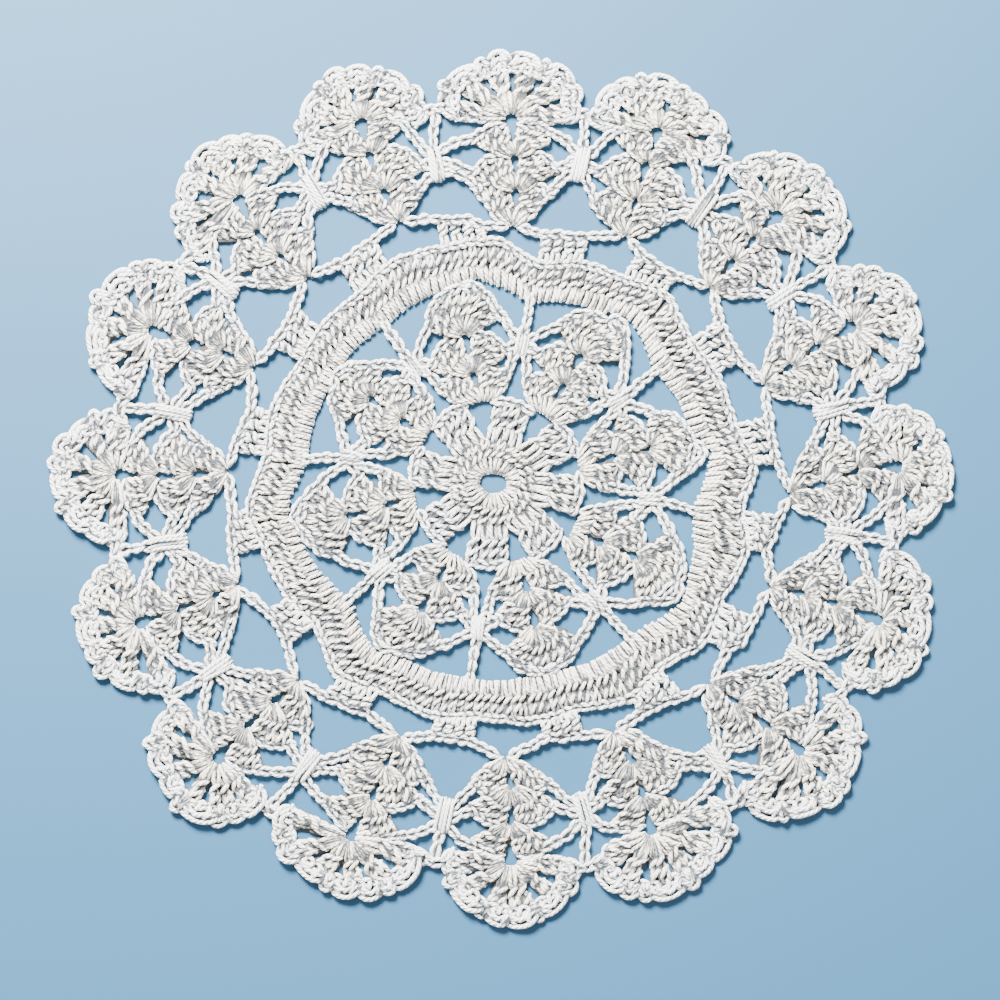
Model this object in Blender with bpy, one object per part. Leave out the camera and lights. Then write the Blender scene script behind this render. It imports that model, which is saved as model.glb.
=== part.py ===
"""A round crochet lace doily in cotton thread, 200 by 193 mm, lying flat on the table.

The lace is one flat piece. From the middle out it has a dense disc, eight petals, a solid band, sixteen short
blocks joined by chains, and sixteen fans that end in a bumpy scalloped edge. Its openings are the centre hole,
eight eyes under the petals, eight long wedges between them, sixteen crescents inside the band, sixteen gaps
between the blocks and sixteen large gaps between the fans.

Angles are in degrees, clockwise from +Y as seen from above. Radii and other lengths are in millimetres, and MM
turns them into metres. The doily was worked by hand, so no two of its petals or fans are quite alike: each has a
row of its own.
"""

from collections import namedtuple
from math import cos, pi, radians, sin

import bpy

MM = 0.001
THICKNESS = 2.0
TURN = 360.0

# The outer rounds, about the doily's middle. A fan grows from its foot on the chains, widens to its head, and ends
# in its crest; left and right are the sides of its head. The tie, the valley and the block come after the fan,
# between it and the next one: gap_top is the top of the gap under the tie, and block_r is the chain's top there.
Fan = namedtuple("Fan", "foot foot_r crest crest_r left right tie gap_top valley valley_r block block_r")
FANS = (
    Fan(2.5, 58.0, 1.8, 97.0, -9.0, 11.6, 13.6, 69.5, 12.8, 88.0, 14.0, 59.0),
    Fan(25.9, 62.0, 22.6, 98.5, 14.3, 33.8, 35.3, 73.0, 34.8, 91.0, 35.3, 61.5),
    Fan(45.9, 63.5, 46.3, 100.0, 36.8, 54.8, 55.4, 72.0, 55.5, 91.0, 56.5, 61.0),
    Fan(68.0, 62.0, 65.3, 101.0, 57.2, 74.6, 76.2, 71.5, 76.4, 89.0, 78.5, 61.5),
    Fan(90.5, 63.0, 87.2, 100.0, 77.9, 96.0, 97.2, 73.0, 97.3, 90.5, 99.0, 61.5),
    Fan(109.4, 62.5, 110.8, 100.0, 99.3, 118.7, 118.7, 73.0, 119.8, 90.5, 120.5, 63.5),
    Fan(132.6, 62.0, 132.0, 101.0, 121.5, 141.6, 141.2, 72.0, 143.0, 89.0, 142.5, 59.5),
    Fan(154.8, 58.0, 156.6, 97.5, 145.5, 165.2, 165.6, 67.5, 167.3, 88.0, 165.5, 57.0),
    Fan(179.1, 58.0, 177.8, 96.5, 169.3, 187.4, 189.8, 67.5, 190.5, 86.0, 190.5, 56.5),
    Fan(202.6, 58.0, 203.0, 96.5, 193.8, 214.4, 215.3, 70.0, 216.2, 90.0, 216.0, 59.5),
    Fan(226.9, 60.5, 225.2, 100.5, 217.8, 237.2, 238.0, 69.5, 238.1, 89.0, 238.0, 58.0),
    Fan(250.5, 61.0, 249.8, 99.0, 240.5, 259.1, 261.2, 70.0, 260.9, 89.0, 262.0, 61.0),
    Fan(274.1, 60.0, 272.3, 100.0, 263.4, 281.3, 283.5, 70.0, 282.6, 89.0, 284.5, 59.5),
    Fan(296.6, 60.5, 295.1, 99.5, 285.4, 304.3, 306.6, 73.0, 305.6, 89.5, 306.5, 60.5),
    Fan(317.6, 63.0, 318.4, 100.5, 308.9, 327.3, 327.9, 74.5, 328.8, 90.5, 327.5, 62.5),
    Fan(339.1, 63.0, 338.8, 100.0, 330.5, 348.1, 348.8, 70.0, 350.0, 88.5, 350.5, 61.5),
)

# The gap between the blocks under each fan's foot: its two sides, and its lower and upper corners on each side.
FootGap = namedtuple("FootGap", "start end low_start low_end high_start high_end")
FOOT_GAPS = (
    FootGap(-0.3, 9.3, 56.0, 51.2, 57.0, 56.0),
    FootGap(19.5, 29.9, 54.0, 55.0, 57.7, 58.8),
    FootGap(39.5, 51.5, 57.7, 54.0, 59.5, 59.5),
    FootGap(61.7, 74.2, 54.8, 54.0, 58.2, 59.7),
    FootGap(84.2, 94.8, 57.3, 53.5, 59.5, 59.9),
    FootGap(103.3, 116.6, 56.6, 54.7, 57.9, 60.8),
    FootGap(125.6, 138.0, 57.0, 52.9, 59.3, 59.0),
    FootGap(148.0, 160.9, 55.0, 51.3, 56.2, 55.3),
    FootGap(170.0, 186.2, 52.2, 50.7, 53.5, 53.8),
    FootGap(196.0, 211.5, 52.4, 52.0, 54.4, 55.5),
    FootGap(220.8, 234.3, 55.3, 51.0, 57.9, 56.0),
    FootGap(243.5, 257.0, 52.9, 54.4, 56.4, 59.0),
    FootGap(265.8, 278.6, 56.8, 52.9, 57.7, 58.2),
    FootGap(289.0, 302.8, 54.4, 53.1, 56.0, 58.2),
    FootGap(311.8, 324.0, 54.4, 54.0, 58.6, 59.7),
    FootGap(333.3, 346.3, 56.8, 56.0, 60.4, 59.9),
)

# The flower in the middle, about its own centre. A petal starts above its eye and meets the band at its tip,
# where ring_before and ring_after are the band's inner edge on the tip's two sides. The wedge, the tie over it
# and the rung from the tie to the band come after the petal, between it and the next one.
FLOWER_X = -1.8
FLOWER_Y = 1.8
Petal = namedtuple(
    "Petal", "eye eye_r eye_wide tip tip_r ring_before ring_after wedge wedge_r apex apex_r tie_r rung rung_r"
)
PETALS = (
    Petal(-7.6, 15.2, 8.5, -9.3, 44.5, 43.9, 45.2, 14.2, 19.2, 11.8, 28.4, 31.0, 11.6, 41.0),
    Petal(37.5, 16.0, 8.3, 35.2, 44.5, 44.3, 47.1, 58.6, 20.7, 57.2, 30.8, 33.0, 54.9, 43.6),
    Petal(79.9, 16.7, 8.2, 78.2, 45.8, 45.0, 48.5, 97.4, 20.3, 95.8, 32.4, 34.6, 97.9, 44.5),
    Petal(120.0, 17.6, 7.8, 118.0, 46.9, 47.5, 49.2, 138.6, 19.8, 138.9, 31.9, 34.6, 138.2, 45.2),
    Petal(161.8, 15.2, 9.1, 164.0, 44.0, 43.9, 43.3, 184.1, 19.2, 185.8, 29.1, 31.9, 186.3, 43.2),
    Petal(209.7, 15.0, 10.7, 211.3, 43.4, 43.1, 45.3, 233.5, 18.5, 232.0, 28.2, 31.1, 230.7, 40.8),
    Petal(259.5, 14.9, 8.0, 257.8, 44.5, 44.1, 45.5, 281.5, 18.7, 280.0, 28.6, 31.5, 277.2, 41.2),
    Petal(306.0, 15.2, 8.8, 304.3, 42.7, 41.5, 42.1, 327.0, 19.2, 325.8, 28.6, 30.8, 325.8, 41.9),
)

CENTRE_HOLE = (7.6, 6.0)       # width and depth of the ring that the work starts from
EYE_HALF_HEIGHT = 3.1
WEDGE_HALF_WIDTH = 2.3         # of a wedge's foot; its apex is a fifth of that
TIP_HALF_WIDTH = 3.0           # of a petal's tip, and of half a rung and half a tie below
RUNG_HALF_WIDTH = 1.3
TIE_HALF_WIDTH = 1.4
FOOT_HALF_WIDTH = 4.0          # of a fan at its foot
GAP_TOP_HALF_WIDTH = 2.8       # of the gap under a tie
CHAIN_ABOVE_GAP = 1.0          # from a foot gap's peak up to the fan's foot

LUMPS = 8                      # bumps round a fan's crest
LUMP_DEPTH = 0.7
ARCH_SHOULDER = 1.5            # how square the arch of a crest is, sideways and upwards
ARCH_FLANK = 0.6
ARCH_FOOT = 1.5                # the arch starts this far above the valleys
ROUNDING = 1.2                 # corners of the gaps are cut back this far

COTTON = {"colour": (0.86, 0.845, 0.81, 1.0), "roughness": 0.88, "metallic": 0.0}


def clear_scene():
    for found in list(bpy.data.objects):
        bpy.data.objects.remove(found, do_unlink=True)


def about_middle(angle, radius):
    """The place at this angle and radius about the doily's middle."""
    turned = radians(angle)
    return (radius * sin(turned), radius * cos(turned))


def about_flower(angle, radius):
    """The place at this angle and radius about the flower's centre."""
    x, y = about_middle(angle, radius)
    return (x + FLOWER_X, y + FLOWER_Y)


def degrees_for(width, radius):
    """The angle that a width takes up at a radius."""
    return width / radius * TURN / (2 * pi)


def between(start, end, share):
    return start + (end - start) * share


def rounded(corners, cut=ROUNDING, steps=2):
    """The closed outline with each corner replaced by steps + 1 points of a soft bend."""
    points = []
    for here, corner in enumerate(corners):
        ends = []
        for other in (corners[here - 1], corners[(here + 1) % len(corners)]):
            away = (other[0] - corner[0], other[1] - corner[1])
            length = (away[0] ** 2 + away[1] ** 2) ** 0.5
            share = min(cut / length, 0.45)
            ends.append((corner[0] + away[0] * share, corner[1] + away[1] * share))
        for step in range(steps + 1):
            t = step / steps
            weights = ((1 - t) ** 2, 2 * t * (1 - t), t**2)
            bend = zip(weights, (ends[0], corner, ends[1]))
            terms = [(weight * x, weight * y) for weight, (x, y) in bend]
            points.append((sum(x for x, _ in terms), sum(y for _, y in terms)))
    return points


def following(rows):
    """Each row with the next one, the last with the first."""
    return zip(rows, rows[1:] + rows[:1])


def scallop(fan, low):
    """The bumpy arch of a fan's head, from its left side to its right side."""
    points = []
    steps = LUMPS * 3
    for step in range(steps + 1):
        u = 2 * step / steps - 1
        side = fan.crest - fan.left if u < 0 else fan.right - fan.crest
        arch = (1 - abs(u) ** ARCH_SHOULDER) ** ARCH_FLANK
        dip = LUMP_DEPTH if step % 3 == 0 else 0.0
        points.append(about_middle(fan.crest + u * side, between(low, fan.crest_r, arch) - dip))
    return points


def edge_outline():
    """The doily's outline: sixteen scallops with a valley after each."""
    points = []
    before = FANS[-1]
    for fan in FANS:
        low = (before.valley_r + fan.valley_r) / 2 + ARCH_FOOT
        points += scallop(fan, low)
        points.append(about_middle(fan.valley, fan.valley_r))
        before = fan
    return points


def fan_gap(fan, after):
    """The large gap between two fans, over the chains and under the tie."""
    after_foot = after.foot if after.foot > fan.foot else after.foot + TURN
    top = degrees_for(GAP_TOP_HALF_WIDTH, fan.gap_top)
    start = fan.foot + degrees_for(FOOT_HALF_WIDTH, fan.foot_r)
    end = after_foot - degrees_for(FOOT_HALF_WIDTH, after.foot_r)
    halfway = (fan.foot_r + fan.gap_top) / 2
    return rounded([
        about_middle(start, fan.foot_r + 1.0),
        about_middle(between(start, fan.tie - top, 0.6), halfway + 0.5),
        about_middle(fan.tie - top, fan.gap_top - 0.8),
        about_middle(fan.tie, fan.gap_top + 0.3),
        about_middle(fan.tie + top, fan.gap_top - 0.8),
        about_middle(between(end, fan.tie + top, 0.6), halfway + 0.5),
        about_middle(end, after.foot_r + 0.8),
        about_middle(fan.block, fan.block_r),
    ])


def foot_gap(fan, gap):
    """The gap under a fan's foot, between two blocks."""
    return rounded([
        about_middle(gap.start, gap.low_start),
        about_middle(gap.start, gap.high_start),
        about_middle(fan.foot, fan.foot_r - CHAIN_ABOVE_GAP),
        about_middle(gap.end, gap.high_end),
        about_middle(gap.end, gap.low_end),
        about_middle(between(gap.start, gap.end, 0.55), between(gap.low_start, gap.low_end, 0.65)),
    ])


def crescents(petal, after):
    """The two gaps beside the rung that follows a petal, under the band."""
    after_tip = after.tip if after.tip > petal.tip else after.tip + TURN
    tip = degrees_for(TIP_HALF_WIDTH, petal.tip_r)
    rung = degrees_for(RUNG_HALF_WIDTH, petal.rung_r)
    tie = degrees_for(TIE_HALF_WIDTH, petal.tie_r)
    foot = petal.tie_r + 2.6
    sides = (
        (petal.tip + tip, petal.ring_after, petal.rung - rung, petal.apex - tie),
        (after_tip - tip, after.ring_before, petal.rung + rung, petal.apex + tie),
    )
    shapes = []
    for corner, corner_r, at_rung, at_tie in sides:
        shapes.append(rounded([
            about_flower(corner, corner_r),
            about_flower(between(corner, at_rung, 0.5), between(corner_r, petal.rung_r, 0.5) + 0.3),
            about_flower(at_rung, petal.rung_r),
            about_flower(at_tie, foot),
            about_flower(between(corner, at_tie, 0.5), between(corner_r, foot, 0.5) + 0.3),
        ], steps=1))
    return shapes


def wedge(petal):
    """The long gap between a petal and the next one, under their tie."""
    foot = degrees_for(WEDGE_HALF_WIDTH, petal.wedge_r)
    apex = degrees_for(WEDGE_HALF_WIDTH / 5, petal.apex_r)
    middle = between(petal.wedge, petal.apex, 0.45)
    middle_r = between(petal.wedge_r, petal.apex_r, 0.45)
    waist = degrees_for(WEDGE_HALF_WIDTH / 2, middle_r)
    return rounded([
        about_flower(petal.wedge - foot, petal.wedge_r),
        about_flower(middle - waist, middle_r),
        about_flower(petal.apex - apex, petal.apex_r),
        about_flower(petal.apex + apex, petal.apex_r),
        about_flower(middle + waist, middle_r),
        about_flower(petal.wedge + foot, petal.wedge_r),
    ], cut=0.6, steps=1)


def eye(petal):
    """The small gap at a petal's root: broad above and narrow below."""
    shape = ((-1.0, 0.2), (-0.7, 0.9), (0.0, 1.1), (0.7, 0.9), (1.0, 0.2), (0.45, -0.8), (0.0, -1.0), (-0.45, -0.8))
    return [
        about_flower(petal.eye + across * petal.eye_wide, petal.eye_r + up * EYE_HALF_HEIGHT)
        for across, up in shape
    ]


def centre_hole(sides=14):
    wide, deep = CENTRE_HOLE
    turns = [2 * pi * side / sides for side in range(sides)]
    return [(FLOWER_X + wide / 2 * sin(turn), FLOWER_Y + deep / 2 * cos(turn)) for turn in turns]


def openings():
    """Every gap's outline."""
    gaps = [centre_hole()]
    gaps += [eye(petal) for petal in PETALS]
    gaps += [wedge(petal) for petal in PETALS]
    for petal, after in following(PETALS):
        gaps += crescents(petal, after)
    gaps += [foot_gap(fan, gap) for fan, gap in zip(FANS, FOOT_GAPS)]
    gaps += [fan_gap(fan, after) for fan, after in following(FANS)]
    return gaps


def cotton_material():
    material = bpy.data.materials.new("white_cotton_thread")
    material.use_nodes = True
    shader = material.node_tree.nodes["Principled BSDF"]
    shader.inputs["Base Color"].default_value = COTTON["colour"]
    shader.inputs["Roughness"].default_value = COTTON["roughness"]
    shader.inputs["Metallic"].default_value = COTTON["metallic"]
    return material


def add_ring(flat, points, centre):
    """Adds one closed outline to a flat curve, measured from the centre given."""
    ring = flat.splines.new("POLY")
    ring.points.add(len(points) - 1)
    for point, (x, y) in zip(ring.points, points):
        point.co = ((x - centre[0]) * MM, (y - centre[1]) * MM, 0.0, 1.0)
    ring.use_cyclic_u = True


def make_doily(collection):
    edge = edge_outline()
    xs = [x for x, _ in edge]
    ys = [y for _, y in edge]
    centre = ((min(xs) + max(xs)) / 2, (min(ys) + max(ys)) / 2)
    flat = bpy.data.curves.new("doily", "CURVE")
    flat.dimensions = "2D"
    flat.fill_mode = "BOTH"
    flat.extrude = THICKNESS / 2 * MM
    for points in [edge] + openings():
        add_ring(flat, points, centre)
    doily = bpy.data.objects.new("doily", flat)
    doily.location = (0.0, 0.0, THICKNESS / 2 * MM)
    flat.materials.append(cotton_material())
    collection.objects.link(doily)


def main():
    clear_scene()
    collection = bpy.data.collections.new("lace_doily")
    bpy.context.scene.collection.children.link(collection)
    make_doily(collection)


main()
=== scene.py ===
"""The looks of a round crochet lace doily: each stitch laid in cotton thread, over a thin matted ground.

Angles are in degrees, clockwise from +Y as seen from above. Lengths are in millimetres, and MM turns them
into metres. The rounds are laid about the doily's middle, and the flower about its own centre.
"""

from collections import namedtuple
from math import atan2, cos, hypot, pi, radians, sin

import bpy
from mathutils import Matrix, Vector

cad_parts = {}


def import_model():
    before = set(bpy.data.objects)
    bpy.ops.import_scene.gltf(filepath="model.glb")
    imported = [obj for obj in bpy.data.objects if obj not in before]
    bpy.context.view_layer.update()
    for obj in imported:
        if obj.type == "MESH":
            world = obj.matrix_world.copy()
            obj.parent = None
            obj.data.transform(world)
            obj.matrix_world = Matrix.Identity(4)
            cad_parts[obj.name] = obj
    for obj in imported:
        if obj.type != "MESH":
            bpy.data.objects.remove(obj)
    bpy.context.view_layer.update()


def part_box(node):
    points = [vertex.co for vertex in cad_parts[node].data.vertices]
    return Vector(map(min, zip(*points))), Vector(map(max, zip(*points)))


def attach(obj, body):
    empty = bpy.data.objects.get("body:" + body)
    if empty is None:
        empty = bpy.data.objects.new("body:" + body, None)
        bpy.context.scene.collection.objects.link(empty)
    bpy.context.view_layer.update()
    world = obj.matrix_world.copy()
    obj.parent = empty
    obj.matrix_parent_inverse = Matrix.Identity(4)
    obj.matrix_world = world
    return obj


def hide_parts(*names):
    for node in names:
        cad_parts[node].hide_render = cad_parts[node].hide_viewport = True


MM = 0.001
TURN = 360.0


def named(kind, rows):
    """A tuple of rows with their values named."""
    return tuple(kind(*row) for row in rows)


# --- The doily's own measures -----------------------------

# Each fan, the valley, the tie and the large gap that follow it, and the outer end of the block after it.
Fan = namedtuple("Fan", "foot foot_r crest crest_r left right tie tie_r gap_top valley valley_r block_r")
FANS = named(Fan, (
    (2.5, 58, 1.8, 97, -9, 11.6, 13.6, 74, 69.5, 12.8, 88, 59),
    (25.9, 62, 22.6, 98.5, 14.3, 33.8, 35.3, 76, 73, 34.8, 91, 61.5),
    (45.9, 63.5, 46.3, 100, 36.8, 54.8, 55.4, 75.5, 72, 55.5, 91, 61),
    (68, 62, 65.3, 101, 57.2, 74.6, 76.2, 75, 71.5, 76.4, 89, 61.5),
    (90.5, 63, 87.2, 100, 77.9, 96, 97.2, 76, 73, 97.3, 90.5, 61.5),
    (109.4, 62.5, 110.8, 100, 99.3, 118.7, 118.7, 76, 73, 119.8, 90.5, 63.5),
    (132.6, 62, 132, 101, 121.5, 141.6, 141.2, 76, 72, 143, 89, 59.5),
    (154.8, 58, 156.6, 97.5, 145.5, 165.2, 165.6, 72.5, 67.5, 167.3, 88, 57),
    (179.1, 58, 177.8, 96.5, 169.3, 187.4, 189.8, 72.5, 67.5, 190.5, 86, 56.5),
    (202.6, 58, 203, 96.5, 193.8, 214.4, 215.3, 74, 70, 216.2, 90, 59.5),
    (226.9, 60.5, 225.2, 100.5, 217.8, 237.2, 238, 74, 69.5, 238.1, 89, 58),
    (250.5, 61, 249.8, 99, 240.5, 259.1, 261.2, 74, 70, 260.9, 89, 61),
    (274.1, 60, 272.3, 100, 263.4, 281.3, 283.5, 74, 70, 282.6, 89, 59.5),
    (296.6, 60.5, 295.1, 99.5, 285.4, 304.3, 306.6, 76.5, 73, 305.6, 89.5, 60.5),
    (317.6, 63, 318.4, 100.5, 308.9, 327.3, 327.9, 77.5, 74.5, 328.8, 90.5, 62.5),
    (339.1, 63, 338.8, 100, 330.5, 348.1, 348.8, 73.5, 70, 350, 88.5, 61.5),
))

# The small holes up the middle of each fan, from which its stitches spread.
Holes = namedtuple("Holes", "low low_r mid mid_r high high_r")
FAN_HOLES = named(Holes, (
    (3, 65.7, 2.3, 73.1, 1.6, 80.6),
    (25, 70.1, 24, 78.4, 23.7, 85),
    (45.4, 71.6, 45.1, 78.4, 45.1, 84.6),
    (66.6, 69.2, 65.5, 76.7, 65, 84),
    (88.7, 70.9, 86.6, 78.4, 86.4, 86.1),
    (108.7, 69.8, 108.6, 77.3, 108.7, 86.4),
    (131.7, 69.2, 131.2, 78, 130.9, 85.7),
    (153.9, 65.9, 155, 73.6, 156, 80.4),
    (177.9, 64.8, 178.4, 72.7, 178.5, 80),
    (202.8, 65, 202.8, 73.1, 203.6, 81.5),
    (227.3, 67.9, 227.3, 76, 226.8, 84.2),
    (249.9, 67, 249.8, 75.3, 249.9, 83.3),
    (273.1, 67.2, 272.6, 75.3, 272.5, 82.8),
    (296.6, 67.9, 295.5, 75.3, 294.8, 83.1),
    (316.9, 70.9, 316.7, 78, 317.9, 85),
    (338.7, 70.9, 338.7, 79.3, 339.2, 85.3),
))

# The small gap under each fan's foot: its two ends, and the radius of its low and high edge at each.
FootGap = namedtuple("FootGap", "start end low_start low_end high_start high_end")
FOOT_GAPS = named(FootGap, (
    (-0.3, 9.3, 56, 51.2, 57, 56),
    (19.5, 29.9, 54, 55, 57.7, 58.8),
    (39.5, 51.5, 57.7, 54, 59.5, 59.5),
    (61.7, 74.2, 54.8, 54, 58.2, 59.7),
    (84.2, 94.8, 57.3, 53.5, 59.5, 59.9),
    (103.3, 116.6, 56.6, 54.7, 57.9, 60.8),
    (125.6, 138, 57, 52.9, 59.3, 59),
    (148, 160.9, 55, 51.3, 56.2, 55.3),
    (170, 186.2, 52.2, 50.7, 53.5, 53.8),
    (196, 211.5, 52.4, 52, 54.4, 55.5),
    (220.8, 234.3, 55.3, 51, 57.9, 56),
    (243.5, 257, 52.9, 54.4, 56.4, 59),
    (265.8, 278.6, 56.8, 52.9, 57.7, 58.2),
    (289, 302.8, 54.4, 53.1, 56, 58.2),
    (311.8, 324, 54.4, 54, 58.6, 59.7),
    (333.3, 346.3, 56.8, 56, 60.4, 59.9),
))

# The flower's own centre, each petal, and the wedge, the tie and the rung that follow it.
FLOWER_X = -1.8
FLOWER_Y = 1.8
Petal = namedtuple(
    "Petal", "eye eye_r tip tip_r ring_before ring_after wedge wedge_r apex apex_r tie_r rung rung_r"
)
PETALS = named(Petal, (
    (-7.6, 15.2, -9.3, 44.5, 43.9, 45.2, 14.2, 19.2, 11.8, 28.4, 31, 11.6, 41),
    (37.5, 16, 35.2, 44.5, 44.3, 47.1, 58.6, 20.7, 57.2, 30.8, 33, 54.9, 43.6),
    (79.9, 16.7, 78.2, 45.8, 45, 48.5, 97.4, 20.3, 95.8, 32.4, 34.6, 97.9, 44.5),
    (120, 17.6, 118, 46.9, 47.5, 49.2, 138.6, 19.8, 138.9, 31.9, 34.6, 138.2, 45.2),
    (161.8, 15.2, 164, 44, 43.9, 43.3, 184.1, 19.2, 185.8, 29.1, 31.9, 186.3, 43.2),
    (209.7, 15, 211.3, 43.4, 43.1, 45.3, 233.5, 18.5, 232, 28.2, 31.1, 230.7, 40.8),
    (259.5, 14.9, 257.8, 44.5, 44.1, 45.5, 281.5, 18.7, 280, 28.6, 31.5, 277.2, 41.2),
    (306, 15.2, 304.3, 42.7, 41.5, 42.1, 327, 19.2, 325.8, 28.6, 30.8, 325.8, 41.9),
))
PETAL_HOLES = named(Holes, (
    (-10.4, 24, -11, 32.5, -10, 41.9),
    (35.7, 26.2, 34.7, 33.7, 35, 42.4),
    (77.8, 27.1, 77.2, 35, 77.8, 43.2),
    (118.8, 27.1, 117.2, 35.2, 118, 43.8),
    (161.8, 24.5, 163.5, 32.4, 165.3, 41.3),
    (208.9, 23.8, 209.6, 31.9, 211.5, 40.8),
    (258.2, 23.4, 257.2, 32.4, 257.8, 41.6),
    (304.3, 24, 304.7, 32.4, 303.5, 39),
))

CENTRE_HOLE = (7.6, 6.0)
EYE_HALF_HEIGHT = 3.1
WEDGE_HALF_WIDTH = 2.3
TIP_HALF_WIDTH = 3.0
RUNG_HALF_WIDTH = 1.3
TIE_HALF_WIDTH = 1.4
FOOT_HALF_WIDTH = 4.0
GAP_TOP_HALF_WIDTH = 2.8
LUMPS = 8  # on the outline of each head
LUMP_DEPTH = 0.7
ARCH_SHOULDER = 1.5  # powers that round the arch of a head
ARCH_FLANK = 0.6
ARCH_FOOT = 1.5  # of the arch above the valleys beside it
ARCH_STEPS = 20  # from a head's crest to either side
NOTCH = ((0.75, 5.2), (0.3, 2.8))  # degrees beside a valley and millimetres below it, on a head's edge

# --- Thread and stitches ----------------------------------

THREAD_RADIUS = 0.49
THREAD_SIDES = 5
PLIES = 3  # twisted together in the thread
TWIST_PITCH = 3.6  # along the thread, for one turn of its plies
FIBRE_LENGTH = 1.1
CHAIN_PITCH = 2.4
CHAIN_WIDTH = 2.3
TRIM_PITCH = 2.3  # the same for the rows of links that edge a shell
TRIM_WIDTH = 2.1
SWAY = 1.15  # how far the thread drifts from its true path
SWAY_FINENESS = 330.0  # of that drift, per metre
RELIEF = 0.6  # of the slow waves in the cloth
WAVE_FINENESS = 28.0
SLUB_FINENESS = 620.0  # of the thick and thin places in the thread
UNEVEN = 0.15  # share by which one stitch differs from the next
AIM_UNEVEN = (0.4, 0.8, 0.45)
SIZE_UNEVEN = (1.0, 0.4, 1.5)
SEED = 7
FOUR_ABREAST = (-1.5, -0.5, 0.5, 1.5)  # the strands of a spoke or a tie
DISC_TREBLES = 26
DISC_R = 9.7
SPOKE_SPREAD = 11.8  # degrees between the feet of a spoke's trebles
BAND_TREBLES = 172
BAND_EASE = 1.5  # degrees to either side, over which the band's outer edge is evened out
BLOCK_TREBLES = 4
BLOCK_MOST = 10.4  # degrees across a block
WALL_SHARE = 0.55  # of the way up a wedge, where the lowest shell of a petal ends
HEART_ABOVE_HOLE = 1.6  # of the place that a head's trebles spread from
HEAD_COLUMNS = 12
HEAD_SPREAD = 2  # tenths of a column's share that opens each slit, to either side
EDGE_LUMPS = 10
EDGE_SHIFT = 3.0  # of a bump along the edge, in tenths of a bump
EDGING_DEPTH = 3.7
EDGE_IN = 1.35  # from a gap's edge to the middle of the chain beside it
LIFT = 0.98  # of the middle of the yarn layer above the table
# Rays cast from the yarn for the painted shade in its clefts: how far they reach, where they start and how
# they lean.
CREVICE_REACH = 1.3  # how near another strand must stand to paint shade in a cleft
CREVICE_START = 0.06
CREVICE_LEANS = ((0.0, 0.0, 0.0), (0.6, 0.0, 0.35), (-0.6, 0.0, 0.35), (0.0, 0.6, 0.35), (0.0, -0.6, 0.35))
GROUND_MIDDLE = 0.70  # above the table
GROUND_FLATNESS = 0.16  # thickness of the ground to its width under a stitch
GROUND_CELL = 1.05

# --- Places -----------------------------------------------


def about_middle(angle, radius):
    """The place at this angle and radius about the doily's middle."""
    turned = radians(angle)
    return (radius * sin(turned), radius * cos(turned))


def about_flower(angle, radius):
    """The place at this angle and radius about the flower's centre."""
    x, y = about_middle(angle, radius)
    return (x + FLOWER_X, y + FLOWER_Y)


def degrees_for(width, radius):
    """The angle that a width takes up at a radius."""
    return width / radius * TURN / (2 * pi)


def between(start, end, share):
    return start + (end - start) * share


def mid(a, b, share=0.5):
    """The place this share of the way from a to b."""
    return (between(a[0], b[0], share), between(a[1], b[1], share))


def compass(a, b):
    """The direction from a to b, in degrees clockwise from +Y."""
    return atan2(b[0] - a[0], b[1] - a[1]) * TURN / (2 * pi)


def far(a, b):
    return hypot(b[0] - a[0], b[1] - a[1])


def step_from(place, angle, length):
    """The place that lies this far from another in a compass direction."""
    x, y = about_middle(angle, length)
    return (place[0] + x, place[1] + y)


def following(rows):
    """Each row with the next one, the last with the first."""
    return zip(rows, rows[1:] + rows[:1])


def after_turn(angle, later):
    """The later angle, a turn further on where it has passed north."""
    return later if later > angle else later + TURN


def turn_between(angle, later):
    """The turn from one angle to another, the shorter way round."""
    return (later - angle + TURN / 2) % TURN - TURN / 2


def soft_path(knots, steps=8):
    """A smooth path through the knots, as close points."""
    ends = [step_back(knots[1], knots[0])] + list(knots) + [step_back(knots[-2], knots[-1])]
    path = []
    for a, b, c, d in zip(ends, ends[1:], ends[2:], ends[3:]):
        for step in range(steps):
            t = step / steps
            path.append(tuple(
                0.5 * (2 * b[k] + (c[k] - a[k]) * t + (2 * a[k] - 5 * b[k] + 4 * c[k] - d[k]) * t**2
                       + (3 * b[k] - a[k] - 3 * c[k] + d[k]) * t**3)
                for k in (0, 1)
            ))
    path.append(tuple(knots[-1]))
    return path


def step_back(inner, end):
    return (2 * end[0] - inner[0], 2 * end[1] - inner[1])


def spaced(knots, count, soft=True):
    """count + 1 places at equal steps along a path."""
    path = soft_path(knots) if soft else list(knots)
    runs = [0.0]
    for a, b in zip(path, path[1:]):
        runs.append(runs[-1] + far(a, b))
    places = []
    at = 0
    for step in range(count + 1):
        want = runs[-1] * step / count
        while at < len(runs) - 2 and runs[at + 1] < want:
            at += 1
        share = (want - runs[at]) / max(runs[at + 1] - runs[at], 1e-9)
        places.append(mid(path[at], path[at + 1], share))
    return places


def path_length(knots):
    path = soft_path(knots)
    return sum(far(a, b) for a, b in zip(path, path[1:]))


def neighbours(rows, number):
    """The row before this one, the row itself and the one after it, round the ring."""
    return rows[number - 1], rows[number], rows[(number + 1) % len(rows)]


def scallop_at(fan, low, u):
    """A place on the arch of a fan's head: u runs from -1 at its left side to 1 at its right."""
    side = fan.crest - fan.left if u < 0 else fan.right - fan.crest
    arch = (1 - abs(u) ** ARCH_SHOULDER) ** ARCH_FLANK
    return about_middle(fan.crest + u * side, between(low, fan.crest_r, arch))


def hole_places(about, holes):
    """The places of the low, the middle and the high small hole."""
    return about(holes.low, holes.low_r), about(holes.mid, holes.mid_r), about(holes.high, holes.high_r)


def head_low(before, fan):
    return (before.valley_r + fan.valley_r) / 2 + ARCH_FOOT


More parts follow.
